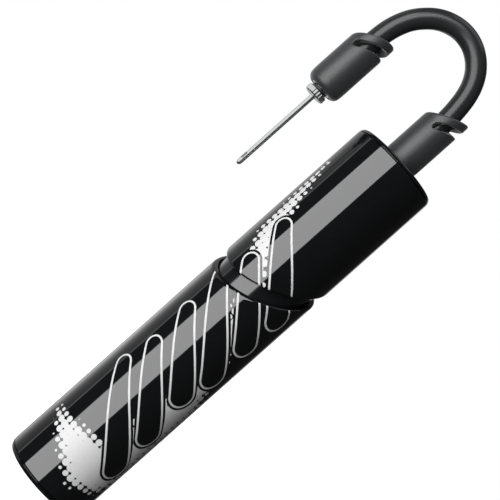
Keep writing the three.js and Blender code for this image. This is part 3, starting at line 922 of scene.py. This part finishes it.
def make_fitting():
    """The hose's screw-in end: a threaded stub, a shoulder, and a flange under the hose."""
    stub = threaded(
        FITTING_THREAD_RADIUS,
        FITTING_THREAD_DEPTH,
        FITTING_THREAD_LOW,
        FITTING_THREAD_HIGH,
        HOSE_THREAD_PITCH,
    )
    outline = [
        (FITTING_BORE, FITTING_LOW),
        (FITTING_LEAD_RADIUS, FITTING_LOW, 0.3),
        *stub,
        (FITTING_RELIEF_RADIUS, SHOULDER_LOW),
        (SHOULDER_RADIUS, SHOULDER_LOW, 0.3),
        (SHOULDER_RADIUS, SHOULDER_HIGH, 0.3),
        (NECK_RADIUS, SHOULDER_HIGH),
        (NECK_RADIUS, FLANGE_LOW),
        (FLANGE_RADIUS, FLANGE_LOW, 0.2),
        (FLANGE_RADIUS, FITTING_HIGH, 0.2),
        (FITTING_BORE, FITTING_HIGH),
    ]
    piece("hose_fitting", turned(outline, FITTING_SIDES, corner=0.1))


SPRING_RADIUS = 1.6
SPRING_WIRE = 0.2
SPRING_LOW = 125.18
SPRING_HIGH = 130.9
SPRING_TURNS = 4
SPRING_STEPS = 160
SPRING_SIDES = 12


def make_valve_spring():
    """The valve's helical spring, which the lifting ball presses against its retainer."""
    points, faces = [], []
    rise = (SPRING_HIGH - SPRING_LOW) / SPRING_STEPS
    run = 2 * math.pi * SPRING_TURNS / SPRING_STEPS * SPRING_RADIUS
    along = math.atan2(rise, run)
    for i in range(SPRING_STEPS + 1):
        angle = 2 * math.pi * SPRING_TURNS * i / SPRING_STEPS
        out = Vector((math.cos(angle), math.sin(angle), 0))
        forward = Vector((-math.sin(angle), math.cos(angle), 0))
        up = Vector((0, 0, math.cos(along))) - forward * math.sin(along)
        centre = out * SPRING_RADIUS + Vector((0, 0, SPRING_LOW + rise * i))
        for j in range(SPRING_SIDES):
            turn = 2 * math.pi * j / SPRING_SIDES
            points.append(centre + (out * math.cos(turn) + up * math.sin(turn)) * SPRING_WIRE)
    for i in range(SPRING_STEPS):
        for j in range(SPRING_SIDES):
            k = (j + 1) % SPRING_SIDES
            low, high = i * SPRING_SIDES, (i + 1) * SPRING_SIDES
            faces.append((low + j, high + j, high + k, low + k))
    last = SPRING_STEPS * SPRING_SIDES
    faces.append(tuple(range(SPRING_SIDES)))
    faces.append(tuple(range(last + SPRING_SIDES - 1, last - 1, -1)))
    spring = piece("valve_spring", (points, faces))
    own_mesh(spring)


KNURLS = 20
KNURL_STEPS = 10
KNURL_DEPTH = 0.06
COLLAR_LOW = 154.5
COLLAR_HIGH = 157.0
COLLAR_RADIUS = 3.9
COLLAR_BEVEL = 0.5
COLLAR_BEVEL_HEIGHT = 0.4
COLLAR_BORE = 1.25
NEEDLE_SEAL_SEAT_RADIUS = 2.2
NEEDLE_SEAL_SEAT_HIGH = 158.3
NEEDLE_LEAD_RADIUS = 2.5
NEEDLE_THREAD_RADIUS = 2.9
NEEDLE_THREAD_DEPTH = 0.3
NEEDLE_THREAD_LOW = 158.6
NEEDLE_THREAD_HIGH = 162.9
NEEDLE_BASE_HIGH = 163.4
NEEDLE_SIDES = 48
TIP_FLAT_RADIUS = 0.35
TIP_HEIGHT = 0.75
BORE_LOW = NEEDLE_TIP + 2
OUTLET_TURN = math.radians(-41)
OUTLET_Z = NEEDLE_TIP + 3.7
OUTLET_HALF_LENGTH = 1.35
OUTLET_HALF_WIDTH = 0.5
OUTLET_SIDES = 24
OUTLET_INSIDE = 0.1
OUTLET_OUTSIDE = 2 * NEEDLE_RADIUS


def outlet_cutter():
    """The needle's air outlet: an upright slot with round ends, from the bore outwards."""
    rim = []
    straight = OUTLET_HALF_LENGTH - OUTLET_HALF_WIDTH
    for i in range(OUTLET_SIDES):
        turn = 2 * math.pi * (i + 0.5) / OUTLET_SIDES
        end = math.copysign(straight, math.sin(turn))
        across = OUTLET_HALF_WIDTH * math.cos(turn)
        rim.append((across, OUTLET_Z + end + OUTLET_HALF_WIDTH * math.sin(turn)))
    points = []
    for reach in (OUTLET_INSIDE, OUTLET_OUTSIDE):
        for across, z in rim:
            x = across * math.cos(OUTLET_TURN) + reach * math.sin(OUTLET_TURN)
            y = across * math.sin(OUTLET_TURN) - reach * math.cos(OUTLET_TURN)
            points.append((x + NEEDLE_X, y, z))
    faces = [
        tuple(range(OUTLET_SIDES - 1, -1, -1)),
        tuple(range(OUTLET_SIDES, 2 * OUTLET_SIDES)),
    ]
    for i in range(OUTLET_SIDES):
        j = (i + 1) % OUTLET_SIDES
        faces.append((i, j, j + OUTLET_SIDES, i + OUTLET_SIDES))
    return points, faces


def make_needle():
    """The knurled collar with its thread, and the needle's tube."""
    screw = threaded(
        NEEDLE_THREAD_RADIUS,
        NEEDLE_THREAD_DEPTH,
        NEEDLE_THREAD_LOW,
        NEEDLE_THREAD_HIGH,
        NEEDLE_PITCH,
    )
    outline = [
        (COLLAR_BORE, COLLAR_LOW, 0.1),
        (COLLAR_RADIUS - COLLAR_BEVEL, COLLAR_LOW),
        (COLLAR_RADIUS, COLLAR_LOW + COLLAR_BEVEL_HEIGHT),
        (COLLAR_RADIUS, COLLAR_HIGH - COLLAR_BEVEL_HEIGHT),
        (COLLAR_RADIUS - COLLAR_BEVEL, COLLAR_HIGH),
        (NEEDLE_SEAL_SEAT_RADIUS, COLLAR_HIGH),
        (NEEDLE_SEAL_SEAT_RADIUS, NEEDLE_SEAL_SEAT_HIGH),
        *screw,
        (NEEDLE_LEAD_RADIUS, NEEDLE_BASE_HIGH, 0.2),
        (COLLAR_BORE, NEEDLE_BASE_HIGH, 0.1),
    ]

    def knurl(x, y, z):
        """Presses the knurl's grooves into the collar's rim."""
        reach = math.hypot(x, y)
        if reach < COLLAR_RADIUS - COLLAR_BEVEL - 0.1 or z > COLLAR_HIGH:
            return (x, y, z)
        wave = 0.5 - 0.5 * math.cos(KNURLS * math.atan2(y, x))
        shrink = 1 - KNURL_DEPTH * wave**1.5
        return (x * shrink, y * shrink, z)

    def place(shape):
        """Moves a shape from the axis to the needle's place."""
        points, faces = shape
        return [(x + NEEDLE_X, y, z) for x, y, z in points], faces

    shape = turned(outline, KNURLS * KNURL_STEPS, corner=0.08, warp=knurl)
    collar = piece("needle_base", place(shape))
    outline = [
        (0, NEEDLE_TIP),
        (TIP_FLAT_RADIUS, NEEDLE_TIP, 0.1),
        (NEEDLE_RADIUS, NEEDLE_TIP + TIP_HEIGHT, 0.5),
        (NEEDLE_RADIUS, NEEDLE_TOP, 0.1),
        (NEEDLE_BORE, NEEDLE_TOP, 0.1),
        (NEEDLE_BORE, BORE_LOW, 0.1),
        (0, BORE_LOW),
    ]
    tube = piece("needle_tube", place(turned(outline, NEEDLE_SIDES, closed=False)))
    cut_out(tube, outlet_cutter())
    settle(tube)
    tube.data.set_sharp_from_angle(angle=SHARP_ANGLE)
    return collar, tube


make_fitting()
make_valve_spring()
needle_collar, needle_tube = make_needle()

# ---------------------------------------------------------------- studio, in metres

FLOOR_REACH = 4.0
FLOOR_GLOW = 0.7
FLOOR_SUN = 2.2
FLOOR_SUN_ANGLE = math.radians(120)

# Azimuths are in degrees from -Y towards +X. Radiances are relative to white.
WALL_COLUMNS = 40
WALL_ROWS = 36
WALL_LOW = -0.9
WALL_HIGH = 0.9
WALL_DISTANCE = 0.9
LEFT_WALL = (-96.4, -180)
LEFT_LINE = (-92.6, -96.4)
LEFT_LINE_DISTANCE = 0.88
LEFT_LINE_RADIANCE = 1.25
RIGHT_WALL = (153, 180)
WALL_RADIANCE = 0.52
LEFT_DIM_TOP = -0.08
LEFT_DIM_SLOPE = 1.2
LEFT_DIM_MOST = 0.25
RIGHT_BRIGHT_TOP = -0.09
RIGHT_BRIGHT_RUN = 0.12
RIGHT_BRIGHT_MOST = 0.5
GLOW_RADIANCE = 1.1
GLOW_AZIMUTH = -147.5
GLOW_HEIGHT = -0.06
GLOW_FAR_WIDTH = 13
GLOW_NEAR_WIDTH = 21
GLOW_RISE = 0.24

SOFTBOX_AZIMUTH = -32.0
SOFTBOX_DISTANCE = 0.6
SOFTBOX_WIDTH = 0.594
SOFTBOX_LOW = -0.26
SOFTBOX_HIGH = 0.66
SOFTBOX_RADIANCE = 7.0
METAL_LIGHT_AZIMUTH = -44
METAL_LIGHT_DISTANCE = 0.5
METAL_LIGHT_SIZE = (1.1, 1.2)
METAL_LIGHT_RADIANCE = 0.86
FILL_SIZE = 0.5
BACK_FILL_PLACE = Vector((0.15, 0.7, 0.5))
BACK_FILL_RADIANCE = 2.5
TOP_FILL_PLACE = Vector((0, 0, 0.9))
TOP_FILL_RADIANCE = 1.3
ROOM_LIGHT = 0.04
OBJECT_MIDDLE = 0.1


def studio_mesh(name, points, faces, strength):
    """A stage surface that gives off white light, and its shader."""
    mesh = bpy.data.meshes.new(name)
    mesh.from_pydata([tuple(p) for p in points], [], faces)
    material = bpy.data.materials.new(name)
    material.use_nodes = True
    shader = material.node_tree.nodes["Principled BSDF"]
    shader.inputs["Emission Color"].default_value = (1, 1, 1, 1)
    shader.inputs["Emission Strength"].default_value = strength
    shader.inputs["Base Color"].default_value = (0, 0, 0, 1)
    shader.inputs["Specular IOR Level"].default_value = 0
    mesh.materials.append(material)
    obj = bpy.data.objects.new(name, mesh)
    bpy.context.scene.collection.objects.link(obj)
    obj.visible_shadow = False
    return obj, shader


def make_floor():
    """A pale floor with a soft sun of its own, so that it stays white round the object."""
    signs = ((-1, -1), (1, -1), (1, 1), (-1, 1))
    corners = [(x * FLOOR_REACH, y * FLOOR_REACH, 0) for x, y in signs]
    floor, shader = studio_mesh("floor", corners, [(0, 1, 2, 3)], FLOOR_GLOW)
    shader.inputs["Base Color"].default_value = (0.5, 0.5, 0.5, 1)
    shader.inputs["Roughness"].default_value = 0.9
    floor.visible_glossy = False
    floor.visible_diffuse = False
    sun = bpy.data.lights.new("floor_light", "SUN")
    sun.energy = FLOOR_SUN
    sun.angle = FLOOR_SUN_ANGLE
    light = bpy.data.objects.new("floor_light", sun)
    bpy.context.scene.collection.objects.link(light)
    link_light(light, [floor], "INCLUDE")


def direction(azimuth):
    """A level unit vector."""
    turn = math.radians(azimuth)
    return Vector((math.sin(turn), -math.cos(turn), 0))


def area_light(name, place, target, width, height, radiance, in_reflections=True):
    """A rectangular light that faces the target, of a given brightness per area."""
    data = bpy.data.lights.new(name, "AREA")
    data.shape = "RECTANGLE"
    data.size = width
    data.size_y = height
    data.energy = radiance * math.pi * width * height
    light = bpy.data.objects.new(name, data)
    bpy.context.scene.collection.objects.link(light)
    light.location = place
    light.rotation_mode = "QUATERNION"
    light.rotation_quaternion = (target - place).to_track_quat("-Z", "Y")
    light.visible_camera = False
    light.visible_glossy = in_reflections
    return light


def link_light(light, objects, state):
    """Makes a light reach only some objects (INCLUDE), or all others (EXCLUDE)."""
    linked = bpy.data.collections.new(light.name + "_links")
    for obj in objects:
        linked.objects.link(obj)
    for entry in linked.collection_objects:
        entry.light_linking.link_state = state
    light.light_linking.receiver_collection = linked


def side_wall(name, ends, distance, radiance):
    """A curved wall round the object, whose light at an azimuth and height is a function."""
    first, last = ends
    azimuths = [first + (last - first) * i / WALL_COLUMNS for i in range(WALL_COLUMNS + 1)]
    heights = [WALL_LOW + (WALL_HIGH - WALL_LOW) * i / WALL_ROWS for i in range(WALL_ROWS + 1)]
    points = []
    values = []
    for azimuth in azimuths:
        for z in heights:
            points.append(direction(azimuth) * distance + Vector((0, 0, z)))
            values.append(radiance(azimuth, z))
    faces = []
    for i in range(WALL_COLUMNS):
        for j in range(WALL_ROWS):
            a = i * (WALL_ROWS + 1) + j
            b = a + WALL_ROWS + 1
            faces.append((a, b, b + 1, a + 1))
    wall, shader = studio_mesh(name, points, faces, 1.0)
    layer = wall.data.attributes.new("radiance", "FLOAT", "POINT")
    layer.data.foreach_set("value", values)
    tree = wall.data.materials[0].node_tree
    light = tree.nodes.new("ShaderNodeAttribute")
    light.attribute_name = "radiance"
    tree.links.new(light.outputs["Fac"], shader.inputs["Emission Strength"])
    wall.visible_camera = False


def left_radiance(azimuth, z):
    """Even light that dims below the object, with a broad glow low down behind its left."""
    width = GLOW_FAR_WIDTH if azimuth < GLOW_AZIMUTH else GLOW_NEAR_WIDTH
    around = math.exp(-(((azimuth - GLOW_AZIMUTH) / width) ** 2))
    up = math.exp(-(((z - GLOW_HEIGHT) / GLOW_RISE) ** 2))
    dimming = min(max((z - LEFT_DIM_TOP) * LEFT_DIM_SLOPE, -LEFT_DIM_MOST), 0)
    return WALL_RADIANCE + dimming + GLOW_RADIANCE * around * up


def right_radiance(azimuth, z):
    """Even light that is brighter below the object."""
    share = min(max((RIGHT_BRIGHT_TOP - z) / RIGHT_BRIGHT_RUN, 0), 1)
    return WALL_RADIANCE + RIGHT_BRIGHT_MOST * share


def make_lights():
    """The lights that the object reflects. The softbox makes the wide band on the shells."""
    middle = (SOFTBOX_LOW + SOFTBOX_HIGH) / 2
    place = direction(SOFTBOX_AZIMUTH) * SOFTBOX_DISTANCE + Vector((0, 0, middle))
    height = SOFTBOX_HIGH - SOFTBOX_LOW
    front = Vector((0, 0, middle))
    softbox = area_light("softbox", place, front, SOFTBOX_WIDTH, height, SOFTBOX_RADIANCE)
    side_wall("left_wall", LEFT_WALL, WALL_DISTANCE, left_radiance)
    side_wall("left_line", LEFT_LINE, LEFT_LINE_DISTANCE, lambda azimuth, z: LEFT_LINE_RADIANCE)
    side_wall("right_wall", RIGHT_WALL, WALL_DISTANCE, right_radiance)
    centre = Vector((0, 0, OBJECT_MIDDLE))
    area_light(
        "back_fill", BACK_FILL_PLACE, centre, FILL_SIZE, FILL_SIZE, BACK_FILL_RADIANCE, False
    )
    area_light("top_fill", TOP_FILL_PLACE, centre, FILL_SIZE, FILL_SIZE, TOP_FILL_RADIANCE)
    # The bright metal would burn out in the softbox, so the needle has a large dim light of
    # its own.
    needle = [needle_collar, needle_tube]
    link_light(softbox, needle + [frame["nodes"]["needle_socket"]], "EXCLUDE")
    place = direction(METAL_LIGHT_AZIMUTH) * METAL_LIGHT_DISTANCE + front
    metal_light = area_light("metal_light", place, front, *METAL_LIGHT_SIZE, METAL_LIGHT_RADIANCE)
    link_light(metal_light, needle, "INCLUDE")


def make_world():
    """A world that is white to the camera and dim to everything else."""
    world = bpy.data.worlds.new("world")
    bpy.context.scene.world = world
    world.use_nodes = True
    tree = world.node_tree
    rays = tree.nodes.new("ShaderNodeLightPath")
    strength = tree.nodes.new("ShaderNodeMapRange")
    strength.inputs["To Min"].default_value = ROOM_LIGHT
    strength.inputs["To Max"].default_value = 1.0
    tree.links.new(rays.outputs["Is Camera Ray"], strength.inputs["Value"])
    background = tree.nodes["Background"]
    background.inputs["Color"].default_value = (1, 1, 1, 1)
    tree.links.new(strength.outputs[0], background.inputs["Strength"])


make_floor()
make_lights()
make_world()
bpy.context.scene.view_settings.view_transform = "Standard"
